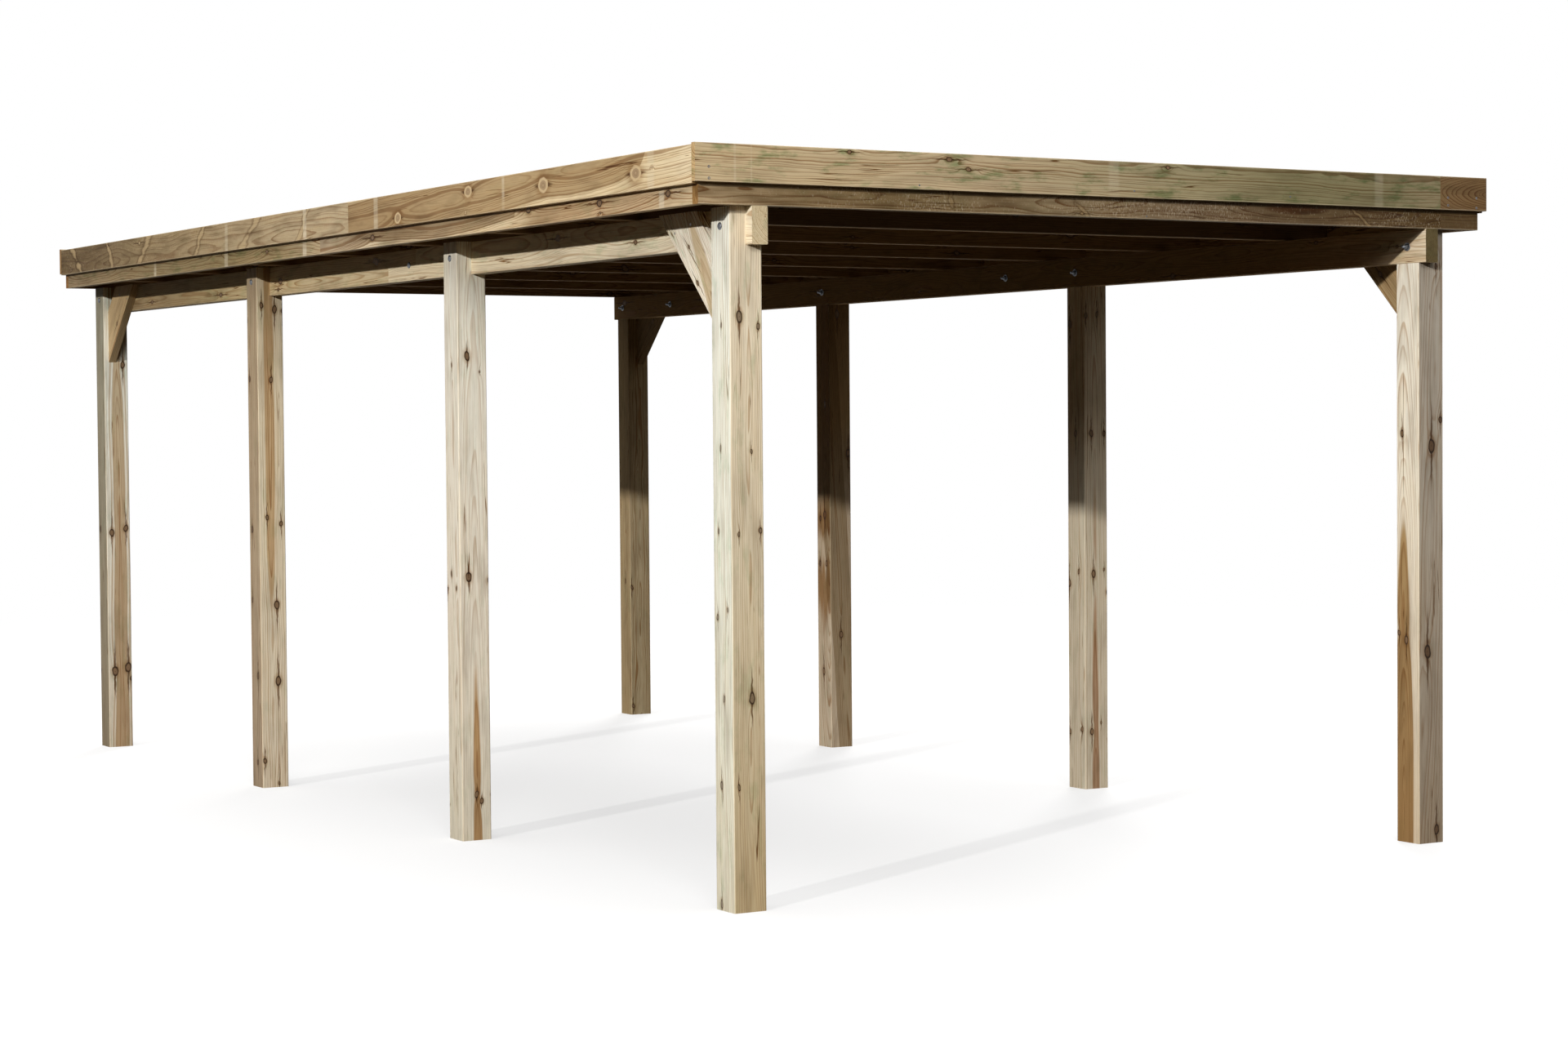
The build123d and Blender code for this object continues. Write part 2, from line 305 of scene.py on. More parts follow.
# pressure-treated pine, planed: pale sapwood, brown heartwood, dull sheen, figure that runs through the piece
def treatedPine(name, low, high, look):
    look = {**pineDefaults, **look}
    turn = grainTurns[look["grain"]]
    middle = (low + high) / 2 / mm
    half = (high - low) / 2 / mm
    along = turn.row[2]
    reach = sum(abs(along[i]) * half[i] for i in range(3))
    level0 = sum(along[i] * middle[i] for i in range(3))
    material, add, shader, where = startMaterial(name)
    # object metres become millimetres from the piece's middle, turned to its grain
    mapping = {"Scale": (1 / mm,) * 3, "Rotation": turn.to_euler(), "Location": -(turn @ middle)}
    grain = add("Mapping", {**mapping, 0: where["Object"]})
    if look["pitch"]:
        # separate boards side by side: each takes its figure from another length of timber
        parts = add("SeparateXYZ", {0: grain})
        boards = add("Math MULTIPLY_ADD", {0: parts.outputs["Y"], 1: 1 / look["pitch"], 2: 0.5})
        board = add("Math FLOOR", {0: boards})
        across = add("Math MULTIPLY_ADD", {0: board, 1: -look["pitch"], 2: parts.outputs["Y"]})
        chance = add("TexWhiteNoise", {"noise_dimensions": "1D", "W": board})
        length = add("Math MULTIPLY_ADD", {0: chance, 1: boardShift, 2: parts.outputs["Z"]})
        grain = add("CombineXYZ", {0: parts.outputs["X"], 1: across, 2: length})

    # knots have ragged outlines, and spurs wander
    knotGrain = pushed(add, grain, grain, "ragged", raggedReach)
    spurGrain = pushed(add, knotGrain, grain, "bent", bentReach)
    fields, spurs, labels = {}, {}, ("Near", "Spike", "Flow")
    for face, spots in look["knots"].items():
        axis = "xyz".index(face)
        for a, b, radius, *way in spots:
            point = Vector([low[axis] / mm if i == axis else (a, b)[i - (i > axis)] for i in range(3)])
            aim = Vector(way[0]) if way else Vector([float(i == axis) for i in range(3)])
            if look["radial"]:
                aim = (point - middle) - along * (point - middle).dot(along)
            aim = aim.normalized() + (0 if way else knotRise) * along
            run = turn @ aim.normalized() / radius
            offset = (turn @ (point - middle)).cross(run)
            chain = spurs if way else fields
            starts = {label: farOff for label in labels if label not in chain}
            shape = look["spurShape" if way else "knotShape"]
            shapes = {"Shape": shape, "Spikes": look["spikeShape"], "Flows": look["flowShape"]}
            place = {"Run": run, "Offset": offset, "Grain": spurGrain if way else knotGrain}
            knot = add("Group", {"node_tree": knotGroup, **shapes, **place, **starts, **chain})
            chain.update({label: knot.outputs[label] for label in labels})

    # tone along the length, its borders drawn out along the grain
    level = add("SeparateXYZ", {0: grain}).outputs["Z"]
    fringe = grainNoise(add, grain, "fringe")
    fringed = add("Math MULTIPLY_ADD", {0: fringe, 1: 0.3 * reach, 2: level})
    share = add("MapRange", {0: fringed, 1: -0.85 * reach, 2: 1.15 * reach})
    toned = chance if look["pitch"] else share
    sapwood = add("ValToRGB", {"stops": look["tones"], 0: toned})
    facing = add("VectorMath DOT_PRODUCT", {0: where["Normal"], 1: along})
    facingSize = add("Math ABSOLUTE", {0: facing})
    end = add("MapRange", {0: facingSize, 1: 0.55, 2: 0.9})
    numbers = "wander wave ring heart figure swell mottle green streaks scuffs seed"
    tints = "heartTint lateTint endTint knotCore knotRim"
    settings = {label.capitalize(): look[label] for label in numbers.split()}
    settings.update({label[0].upper() + label[1:]: toLinear(look[label]) for label in tints.split()})
    settings.update({label: fields.get(label, farOff) for label in labels})
    heartLow, heartHigh = look["heartSpan"]
    settings.update({
        "Pith": turn @ Vector(look["pith"]), "Tilt": turn @ Vector(look["tilt"]) * mm,
        "HeartLow": heartLow - level0, "HeartHigh": heartHigh - level0,
        "Waves": (1 / waveWidth, 1 / waveWidth, 1 / look["waveLength"]),
        "Grain": grain, "Sapwood": sapwood, "End": end, "Spur": spurs.get("Near", farOff),
    })
    figure = add("Group", {"node_tree": figureGroup, **settings})
    colour = figure.outputs["Color"]

    # tints for the faces to the left and right, and for those to the front and rear
    # most of them follow the shade in the photograph, so they may be left out under other light
    facingParts = add("SeparateXYZ", {0: where["Normal"]})
    for axis, label in (("X", "sides"), ("Y", "ends")):
        if look[label]:
            sideways = add("Math POWER", {0: facingParts.outputs[axis], 1: 2})
            faceTone = add("ValToRGB", {"stops": look[label], 0: share})
            colour = add("Mix", {**tint, 0: sideways, 6: colour, 7: faceTone})

    # pale bars where sticks kept the boards apart in the treatment
    bars = None
    for place, width, strength in look["marks"]:
        off = add("Math SUBTRACT", {0: level, 1: place - level0})
        size = add("Math ABSOLUTE", {0: off})
        bar = add("MapRange", {**smooth, 0: size, 1: 0.3 * width, 2: 0.65 * width, 3: strength, 4: 0})
        bars = add("Math MAXIMUM", {0: bar, 1: bars}) if bars else bar
    if bars:
        paleShare = add("MapRange", {0: fringe, 1: 0.3, 2: 0.65, 3: 0.2, 4: 1})
        shown = add("Math MULTIPLY", {0: bars, 1: paleShare})
        colour = add("Mix", {**blend, 0: shown, 6: colour, 7: toLinear("ddd2b9")})

    # arrises painted paler over about 4 mm: a painted highlight along the edges
    if look["grain"] in "xyz" and not look["pitch"]:
        size = Vector([abs(v) for v in turn @ half])
        inside = add("VectorMath ABSOLUTE", {0: grain})
        gaps = add("VectorMath SUBTRACT", {0: size, 1: inside})
        gap = add("SeparateXYZ", {0: gaps})
        arris = add("Math MAXIMUM", {0: gap.outputs["X"], 1: gap.outputs["Y"]})
        paleShare = add("MapRange", {**smooth, 0: arris, 1: 0.5, 2: 5, 3: 0.3, 4: 0})
        colour = add("Mix", {**blend, 0: paleShare, 6: colour, 7: toLinear("e4d4b4")})
    bump = add("Bump", {"Strength": 0.6, "Distance": mm, "Height": figure.outputs["Height"]})
    surface = {"Base Color": colour, "Roughness": figure.outputs["Roughness"], "Normal": bump}
    fillNode(shader, {"Specular IOR Level": 0.12, **surface})
    return material


# knots for a piece that the photograph hardly shows, in whorls along its length
straySizes = {"spacing": 800, "start": 120, "finish": 60, "jitter": 40, "edge": 12, "radius": (4, 13)}


def strayKnots(name, grain, seed):
    low, high = (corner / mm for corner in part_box(name))
    chance = random.Random(seed)
    axis = "xyz".index(grain)
    sides = [i for i in range(3) if i != axis]
    thin = min(sides, key=lambda i: high[i] - low[i])
    wide = max(sides, key=lambda i: high[i] - low[i])
    spacing, jitter, edge = (straySizes[key] for key in ("spacing", "jitter", "edge"))
    knots = []
    place = low[axis] + chance.uniform(straySizes["start"], spacing)
    while place < high[axis] - straySizes["finish"]:
        for branch in range(chance.choice((1, 1, 2))):
            point = {axis: place + chance.uniform(-jitter, jitter)}
            point[wide] = chance.uniform(low[wide] + edge, high[wide] - edge)
            knots.append((*[point[i] for i in sorted(point)], chance.uniform(*straySizes["radius"])))
        place += spacing * chance.uniform(0.5, 1.5)
    return {"xyz"[thin]: knots}


def dress(name, look):
    low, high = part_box(name)
    if "knots" not in look and look["grain"] in "xyz":
        look = {**look, "knots": strayKnots(name, look["grain"], look["seed"])}
    material = treatedPine("pine_" + name, low, high, look)
    for slot in nodes[name].material_slots:
        slot.material = material


# posts, their knots running out from the middle
postLooks = {
    # its front and rear faces are painted darker and warmer towards the foot: painted shade
    "post_left_front": {
        "tones": {0: "dcd8c5", 0.45: "edefe2", 1: "fafcf2"}, "ends": {0: "d5c3a9", 0.5: "e7d8c7", 1: "f5e8d9"},
        "pith": (8, -72, 0), "knotShape": (0.5, 0.5, 1.1), "knotCore": "8f8270", "knotRim": "43372a", "wander": 30,
        "seed": 3.1, "green": 0.3, "figure": 0.6,
        "knots": {"y": [(-1430, 1845, 10), (-1363, 1815, 5), (-1390, 1430, 4), (-1436, 1173, 4),
            (-1360, 1184, 5), (-1395, 666, 10), (-1444, 390, 5)],
            "x": [(-2987, 1821, 5), (-2976, 1440, 5), (-2961, 1184, 5), (-2951, 915, 5), (-3013, 941, 4),
            (-2988, 663, 6), (-2968, 392, 7), (-2962, 21, 7)]}},
    # its left and right faces are painted slightly darker: painted shade
    "post_left_second": {
        "tones": {0: "dbd4c2", 0.4: "efe7d7", 1: "fdfbed"}, "sides": {0: "eff0f0", 1: "eae9ea"},
        "pith": (2, -25, 0), "tilt": (0, 28, 0), "heart": 18, "heartTint": "cfae88",
        "spikeShape": (0.16, 0.16, 2.4), "wander": 6, "seed": 5.7, "green": 0.15, "figure": 0.5,
        "knots": {"y": [(-1425, 1770, 11), (-1376, 1714, 3), (-1428, 964, 11), (-1343, 953, 8), (-1405, 169, 8),
            (-1385, 143, 7), (-1346, 164, 4)],
            "x": [(-1000, 1738, 5), (-979, 975, 7), (-1021, 923, 5)]}},
    # its left and right faces are painted darker and greyer: painted shade
    "post_left_third": {
        "tones": {0: "d6c9b3", 0.5: "e5dac1", 1: "e5d9bd"}, "sides": {0: "bfb6af", 1: "bfb6af"},
        "pith": (-7, -45, 0), "tilt": (0, -12, 0), "heart": 22, "heartTint": "dcc6ac", "wander": 12, "seed": 8.3,
        "green": 0.2,
        "knots": {"y": [(-1384, 2011, 10), (-1442, 2027, 8), (-1348, 2005, 7), (-1403, 1717, 8),
            (-1429, 1138, 7), (-1367, 1112, 7), (-1390, 769, 11), (-1388, 448, 13), (-1452, 115, 7),
            (-1390, 17, 5)],
            "x": [(978, 470, 10), (1030, 1720, 8), (1022, 1086, 9), (1030, 790, 7), (992, 104, 8)]}},
    # its left and right faces are painted much darker and greyer: painted shade
    "post_left_rear": {
        "tones": {0: "d5cab7", 0.5: "e8e5d8", 1: "f0f4ea"}, "sides": {0: "9e998e", 1: "9e998e"},
        "pith": (8, -44, 0), "tilt": (0, 9, 0), "heart": 34, "heartTint": "d4c0a8", "wander": 16, "seed": 11.9,
        "green": 0.25,
        "knots": {"y": [(-1373, 1819, 10), (-1437, 1020, 11), (-1368, 1041, 10), (-1431, 362, 14),
            (-1366, 378, 14)],
            "x": [(3018, 1041, 9), (3040, 363, 8)]}},
    # its front and rear faces are painted darker and greyer: painted shade
    "post_right_front": {
        "tones": {0: "d2c2a9", 0.5: "f0e8d6", 1: "fbf6e8"}, "ends": {0: "a8a4a2", 1: "a8a4a2"}, "figure": 0.6,
        "swell": 12, "wave": 5, "pith": (-7, 22, 0), "tilt": (47, 0, 0), "heart": 52, "heartTint": "b79d78",
        "wander": 6, "seed": 14.2, "green": 0.1,
        "knots": {"x": [(-2957, 1463, 8), (-2977, 725, 10), (-2940, 749, 6)],
            "y": [(1408, 1418, 15), (1388, 686, 15), (1430, 47, 11), (1450, 1511, 7), (1429, 2056, 7)]}},
    # its upper part, in the roof's shade, is painted paler: painted light
    "post_right_second": {
        "tones": {0: "c9bfab", 0.5: "cec4af", 0.7: "ece0c8", 1: "fdf2dc"}, "pith": (-4, -38, 0), "tilt": (0, 12, 0),
        "heart": 19, "heartTint": "ccb09c", "wander": 8, "seed": 17.5, "green": 0.15,
        "knots": {"x": [(-945, 847, 10), (-1012, 897, 7), (-957, 1916, 10), (-993, 1465, 9), (-945, 232, 7),
            (-1029, 247, 7)],
            "y": [(1392, 887, 10), (1446, 905, 4), (1358, 1947, 7), (1415, 1954, 8), (1383, 1465, 9),
            (1449, 1464, 7), (1380, 237, 9), (1426, 272, 4)]}},
    # its upper part, in the roof's shade, is painted a darker orange brown: painted shade
    "post_right_third": {
        "tones": {0: "c8b8a1", 0.5: "c8b8a1", 0.7: "a98d64", 1: "967850"}, "pith": (-26, -45, 0),
        "tilt": (-60, 0, 0), "heart": 57, "heartTint": "d0c8b8", "wander": 10, "seed": 20.8, "green": 0.2,
        # the patches on its left and right faces are its knotty figure
        "sides": {0: "ffffff", 0.26: "ffffff", 0.31: "c9b092", 0.36: "c9b092", 0.4: "ffffff", 0.43: "ffffff",
            0.46: "bda382", 0.5: "bda382", 0.55: "f4ece0"},
        "knots": {"x": [(985, 1087, 12), (1022, 1070, 8), (1030, 859, 7), (972, 861, 9), (1001, 354, 11),
            (976, 1605, 8)],
            "y": [(1404, 528, 10), (1450, 1375, 11), (1394, 2023, 11)]}},
    # its upper part is painted darker and warmer, and its left and right faces darker: painted shade
    "post_right_rear": {
        "tones": {0: "baa988", 0.5: "c1b08f", 1: "b19c73"}, "sides": {0: "e2ddd4", 1: "e2ddd4"},
        "pith": (0, -78, 0), "tilt": (0, -8, 0), "wander": 14, "wave": 44, "figure": 0.9, "seed": 23.3,
        "green": 0.2, "knots": {"y": [(1356, 666, 7), (1358, 46, 7)], "x": [(2982, 696, 7)]}},
}
for name, look in postLooks.items():
    shared = {"grain": "z", "radial": True, "figure": 0.75, "streaks": 0.25, "mottle": 0.5, "ring": 6}
    dress(name, {**shared, "knotShape": (0.6, 0.6, 1.05), **look})
print("posts dressed")

# beams, each in two lengths, with rough-sawn ends
beamLooks = {
    "beam_left_front": {
        "tones": {0: "f7ecd2", 1: "ecddbd"}, "pith": (60, 0, 30), "seed": 31.1, "green": 0.3, "mottle": 0.4,
        "endTint": "dcd6c8", "knots": {"x": [(-2320, 2113, 8), (-1754, 2158, 10), (-880, 2110, 7)]}},
    "beam_left_rear": {
        "tones": {0: "dccaa6", 0.45: "d0bd97", 0.58: "b8a880", 0.7: "a28e6b", 1: "a08c6c"}, "pith": (-60, 0, -20),
        "seed": 33.4},
    # pale at its front end where light falls and deep brown behind: painted light and painted shade
    "beam_right_front": {
        # its end grain is dark green brown, partly green stain and partly painted shade
        "tones": {0: "e5d8c0", 0.12: "c2a47a", 0.3: "96784c", 1: "8c7046"}, "endTint": "6a654e",
        "pith": (-70, 0, 20), "seed": 35.2},
    # a deep brown: partly the wood's own colour, partly painted shade under the roof
    "beam_right_rear": {"tones": {0: "8c7046", 1: "96784c"}, "pith": (60, 0, -30), "seed": 37.8},
}
for name, look in beamLooks.items():
    dress(name, {"grain": "y", "endTint": "f4e6cc", "wander": 40, "swell": 16, **look})

# knee braces, their grain at 45 degrees
braceLooks = {
    "brace_left_front": {
        "tones": {0: "fdf8ea", 1: "faf2e0"}, "heartTint": "d6c7b0", "pith": (-50, -68, 68),
        "tilt": (-83, -200, 200), "heart": 42, "wander": 8, "seed": 41.3, "green": 0.4, "mottle": 0.3,
        "streaks": 0.1, "figure": 0.8, "ring": 9, "knots": {"x": [(-2800, 1960, 7), (-2745, 2075, 5)]}},
    "brace_left_rear": {
        "tones": {0: "c4ae8a", 1: "b09972"}, "pith": (-40, 0, 0), "seed": 43.7, "knots": {"x": [(2800, 2010, 8)]}},
    "brace_right_front": {
        "tones": {0: "b79e76", 1: "b39a72"}, "pith": (40, 20, 0), "seed": 45.1, "knots": {"x": [(-2780, 2040, 9)]}},
    "brace_right_rear": {
        "tones": {0: "a08a68", 1: "a08a68"}, "pith": (40, 0, 20), "seed": 47.9, "knots": {"x": [(2760, 2050, 7)]}},
}
for name, look in braceLooks.items():
    dress(name, {"grain": "rise" if name.endswith("front") else "fall", **look})
print("beams and braces dressed")

# rafters, and the rim boards that close their ends
for number in range(1, 8):
    pith = (0, (-1) ** number * 45, 25 - 9 * number)  # on either side of the board, in turn
    # a deeper brown than the posts: partly the wood's own colour, partly painted shade under the roof
    rafterLook = {"tones": {0: "9c7e54", 1: "96784e"}, "pith": pith, "seed": 50 + 2.7 * number}
    if number == 1:
        rafterLook["ends"] = {0: "a8a29c", 1: "a8a29c"}  # deep in the photograph's shade
    dress(f"rafter_{number}", {"grain": "x", "wander": 40, "swell": 20, **rafterLook})


# boards along the sides have their grain along y, those across the ends along x
def boardGrain(name):
    return "y" if "left" in name or "right" in name else "x"


rimLooks = {
    "rim_left_front": {
        "heartTint": "cbc2b8", "pith": (-46, 0, 33), "tilt": (0, 0, -30), "heart": 72, "heartSpan": (-1800, 9000),
        "wander": 40, "seed": 71.3, "marks": [(-2849, 34, 0.5)],
        "tones": {0: "e2cfac", 0.12: "c9b08d", 0.36: "bca17c", 0.42: "e0cdaa", 0.62: "dac8a8", 0.76: "bfad8e",
            0.86: "d8c8aa", 1: "ece0c8"},
        "knots": {"x": [(-591, 2221, 12), (-1913, 2238, 11), (-2431, 2229, 12), (-2891, 2229, 11),
            (-2436, 2197, 4)]}},
    "rim_left_rear": {
        "tones": {0: "c4b393", 0.15: "a08e6a", 0.3: "8e7f5c", 1: "928165"}, "pith": (-60, 0, 10), "wander": 50,
        "seed": 73.9, "green": 0.6, "knots": {"x": [(480, 2225, 8)]},
        "marks": [(1819, 30, 0.5), (941, 40, 0.5), (78, 40, 0.5)]},
    "rim_right_front": {
        "tones": {0: "c4a97f", 1: "bca178"}, "pith": (50, 0, 30), "heart": 40, "wander": 60, "seed": 75.1},
    "rim_right_rear": {"tones": {0: "bca680", 1: "b59f7c"}, "pith": (50, 0, -20), "wander": 60, "seed": 77.7},
    "rim_front": {
        "heartTint": "d3b894", "pith": (0, -70, -10), "heart": 40, "wander": 40, "seed": 79.3, "scuffs": 0.32,
        "mottle": 1, "endTint": "d8bf98", "knotCore": "8f7752",
        "tones": {0: "bea885", 0.12: "917c5b", 0.24: "756243", 0.42: "8f7e61", 0.62: "74634e", 0.8: "69573e",
            1: "4e3b20"},
        "knots": {"y": [(-661, 2208, 8, (9, 0, -21)), (-159, 2220, 10, (16, 0, -29)),
            (1041, 2217, 9, (37, 0, -22)), (-152, 2196, 5)]}},
    "rim_front_end": {
        "tones": {0: "58462d", 1: "58462d"}, "pith": (0, -60, 30), "seed": 81.8, "scuffs": 0.06, "knots": {}},
    "rim_rear": {"tones": {0: "b09570", 1: "a88f6a"}, "pith": (0, 60, 10), "wander": 50, "seed": 83.3},
    "rim_rear_end": {"tones": {0: "a88f6a", 1: "a88f6a"}, "pith": (0, 60, 30), "seed": 85.8, "knots": {}},
}
for name, look in rimLooks.items():
    shared = {"ring": 8, "swell": 24, "wave": 14, "waveLength": 260, "figure": 0.9, "lateTint": "a8855e"}
    dress(name, {"grain": boardGrain(name), **shared, **look})
print("rafters and rim boards dressed")

# fascia boards, flat sawn, with the strongest figure
fasciaLooks = {
    "fascia_left_front": {
        "tones": {0: "ebdbba", 0.1: "e2cfa9", 0.5: "e6d3ae", 1: "ccb793"}, "heartTint": "cabfb1",
        "pith": (-40, 0, 24), "tilt": (0, 0, -48), "heart": 92, "heartSpan": (-2730, 9000), "wander": 20,
        "figure": 0.8, "swell": 26, "ring": 9, "seed": 91.4, "green": 0.1, "knotCore": "937a5c",
        "knotRim": "c4ab84", "spikeShape": (0.3, 0.3, 2.4), "flowShape": (0.22, 0.22, 0.5),
        "marks": [(-676, 38, 0.4), (-1764, 20, 0.35), (-2820, 45, 0.3)],
        "knots": {"x": [(-877, 2276, 19), (-1483, 2330, 20), (-2070, 2311, 24), (-2720, 2303, 24),
            (-1461, 2260, 5), (-2827, 2313, 5)]}},
    "fascia_left_rear": {
        "tones": {0: "bdac8e", 0.45: "9f8d6e", 0.7: "8a795b", 0.82: "736248", 1: "625138"}, "pith": (-70, 0, -40),
        "wander": 50, "figure": 0.7, "ring": 9, "seed": 93.2, "green": 0.15, "knotCore": "b39c76",
        "knotRim": "4a3a28", "mottle": 1, "scuffs": 0.2, "marks": [(878, 34, 0.4), (20, 34, 0.5)],
        "knots": {"x": [(2828, 2290, 22, (0, 82, 65)), (2377, 2316, 20, (0, 54, 85)),
            (1914, 2296, 24, (0, -112, 88)), (1960, 2340, 9), (1218, 2291, 20, (0, -83, 78)),
            (650, 2282, 22, (0, -85, 52)), (42, 2304, 18, (0, -79, 84)), (2400, 2350, 6)]}},
    "fascia_right_front": {
        "tones": {0: "cfb78c", 1: "c2aa82"}, "pith": (40, 0, 30), "heart": 60, "wander": 50, "figure": 0.9,
        "seed": 95.7, "marks": [(-700, 36, 0.4), (-1800, 36, 0.4)]},
    "fascia_right_rear": {
        "tones": {0: "c0a982", 1: "b09975"}, "pith": (60, 0, -30), "wander": 50, "figure": 0.8, "seed": 97.1,
        "marks": [(300, 36, 0.4), (1500, 36, 0.4)]},
    "fascia_front": {
        "tones": {0: "ccb893", 0.35: "bba989", 0.6: "9c9272", 0.78: "817a5a", 0.9: "7c7557", 1: "897e62"},
        "endTint": "fff4e4", "pith": (0, -34, 58), "tilt": (0, 0, -8), "wander": 30, "waveLength": 170,
        "figure": 0.75, "ring": 9, "seed": 99.9, "green": 0.8, "mottle": 0.5,
        "knots": {"y": [(-689, 2351, 8), (-614, 2321, 7), (186, 2357, 6), (-1063, 2360, 6)]},
        "marks": [(-1475, 8, 0.25), (-1417, 6, 0.2), (-37, 44, 0.2), (1110, 40, 0.15)]},
    "fascia_front_end": {
        "tones": {0: "755e41", 1: "6f583b"}, "pith": (0, -50, 0), "tilt": (0, 240, 0), "wander": 6, "figure": 0.95,
        "seed": 102.2, "knots": {}},
    "fascia_rear": {
        "tones": {0: "bea882", 1: "b6a07a"}, "pith": (0, 50, -40), "wander": 50, "figure": 0.9, "seed": 104.4,
        "marks": [(-900, 36, 0.4), (400, 36, 0.4)]},
    "fascia_rear_end": {
        "tones": {0: "aa926e", 1: "aa926e"}, "pith": (0, 40, 0), "tilt": (0, 120, 0), "figure": 0.9, "seed": 106.6,
        "knots": {}},
}
for name, look in fasciaLooks.items():
    shared = {"ring": 6, "swell": 36, "streaks": 0.2, "wave": 14, "waveLength": 300, "lateTint": "a37f58"}
    dress(name, {"grain": boardGrain(name), **shared, **look})
print("fascia boards dressed")


# an object from a bmesh, its place in the mesh
def meshObject(name, shape, material):
    mesh = bpy.data.meshes.new(name)
    shape.to_mesh(mesh)
    shape.free()
    mesh.materials.append(material)
    made = bpy.data.objects.new(name, mesh)
    scene.collection.objects.link(made)
    return made


# a finished piece, riding on the one body
def finishPiece(name, shape, material, stands=()):
    piece = meshObject(name, shape, material)
    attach(piece, "root")
    if stands:
        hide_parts(*stands)


# a block added to a shape, by its middle and its sizes
def addBlock(shape, centre, size, turn=Matrix.Identity(4)):
    placing = turn @ Matrix.Translation(centre) @ Matrix.Diagonal((*size, 1))
    return bmesh.ops.create_cube(shape, size=1, matrix=placing)["verts"]


# a solid turned about z from its outline of (radius, height)
def turned(outline, steps):
    shape = bmesh.new()
    points = [shape.verts.new((radius * mm, 0, height * mm)) for radius, height in outline]
    edges = [shape.edges.new(pair) for pair in zip(points, points[1:])]
    bmesh.ops.spin(shape, geom=points + edges, cent=(0, 0, 0), axis=(0, 0, 1), angle=2 * math.pi,
                   steps=steps, use_merge=True)
    bmesh.ops.remove_doubles(shape, verts=shape.verts, dist=1e-6)
    bmesh.ops.recalc_face_normals(shape, faces=shape.faces)
    return shape


# copies of one fastener at many places, as one piece
def placed(name, shape, places):
    template = bpy.data.meshes.new(name + "Shape")
    shape.to_mesh(template)
    shape.free()
    whole = bmesh.new()
    for matrix in places:
        start = len(whole.verts)
        whole.from_mesh(template)
        whole.verts.ensure_lookup_table()
        bmesh.ops.transform(whole, matrix=matrix, verts=whole.verts[start:])
    bpy.data.meshes.remove(template)
    finishPiece(name, whole, zinc)


# a place for a fastener: its foot in millimetres and the way its head faces
def spot(x, y, z, way):
    facing = Vector(way).to_track_quat("Z", "Y").to_matrix().to_4x4()
    return Matrix.Translation(Vector((x, y, z)) * mm) @ facing


# zinc-plated steel, barrel plated: mid grey, mottled by passivation, a soft gloss
def makeZinc():
    material, add, shader, where = startMaterial("zincPlatedSteel")
    mottle = add("TexNoise", {"Scale": 1 / (4 * mm), "Detail": 3, "Vector": where["Object"]})
    zincStops = {0.3: "4e5054", 0.55: "6e7073", 0.8: "919396"}
    tone = add("ValToRGB", {"stops": zincStops, 0: mottle})
    rough = add("MapRange", {0: mottle, 1: 0.3, 2: 0.7, 3: 0.42, 4: 0.62})
    fillNode(shader, {"Metallic": 1, "Base Color": tone, "Roughness": rough})
    return material


zinc = makeZinc()
# faces of the posts, beams, braces and boards, and the posts' places along the row, in millimetres
outerX, beamInnerX, beamOuterX, braceX = 1462.5, 1347.5, 1403.5, 1439.5
fasciaY, rimY = 3102.5, 3080.5
postYs = (-2985, -995, 995, 2985)
both = (-1, 1)  # left and right, or front and rear

# coach bolts through the post heads and the beam splices: dome head outside, washer, nut and thread end inside
boltSizes = {
    "headRadius": 12, "headHeight": 6, "headEdge": 0.6, "domeAngles": (0.3, 0.6, 0.9, 1.2, 1.42), "domeFall": 0.8,
    "washerHole": 4.5, "washerRadius": 15, "washerThick": 2.5, "washerEase": 0.6,
    "nutRadius": 9.8, "nutHeight": 8, "nutEase": 0.7,
    "threadRadius": 5, "threadDepth": 0.9, "threadEnd": 24, "tipRadius": 3.6, "pitch": 1.5,
    "steps": 28, "threadSteps": 20, "level": 2126, "spliceYs": {-1: (-498,), 1: (-498, 2470)},
}
b = boltSizes
headSpots, nutSpots = [], []
for side in both:
    for faceX, ys in ((outerX, postYs), (beamOuterX, b["spliceYs"][side])):
        for y in ys:
            headSpots.append(spot(side * faceX, y, b["level"], (side, 0, 0)))
            nutSpots.append(spot(side * beamInnerX, y, b["level"], (-side, 0, 0)))

radius, thick = b["headRadius"], b["headHeight"]
dome = [(0, thick)]
dome += [(radius * math.sin(a), thick * math.cos(a) ** b["domeFall"]) for a in b["domeAngles"]]
dome += [(radius, b["headEdge"]), (radius, 0)]
placed("boltHeads", turned(dome, b["steps"]), headSpots)
radius, thick, ease = b["washerRadius"], b["washerThick"], b["washerEase"]
washer = [(b["washerHole"], 0), (b["washerHole"], thick), (radius - ease, thick), (radius, thick - ease), (radius, 0)]
placed("boltWashers", turned(washer, b["steps"]), nutSpots)
nut = bmesh.new()
radius, tall = b["nutRadius"] * mm, b["nutHeight"] * mm
nutPlace = Matrix.Translation((0, 0, thick * mm + tall / 2))
bmesh.ops.create_cone(nut, segments=6, radius1=radius, radius2=radius, depth=tall, cap_ends=True, matrix=nutPlace)
bmesh.ops.bevel(nut, geom=nut.edges[:], offset=b["nutEase"] * mm, affect="EDGES", segments=2,
                profile=0.5, material=-1)
placed("boltNuts", nut, nutSpots)
valley = b["threadRadius"] - b["threadDepth"]
thread, height = [], thick + b["nutHeight"] - 1
while height < b["threadEnd"] - b["pitch"]:
    thread += [(valley, height), (b["threadRadius"], height + b["pitch"] / 2)]
    height += b["pitch"]
thread += [(valley, height), (b["tipRadius"], b["threadEnd"]), (0, b["threadEnd"])]
placed("boltThreads", turned(thread, b["threadSteps"]), nutSpots)

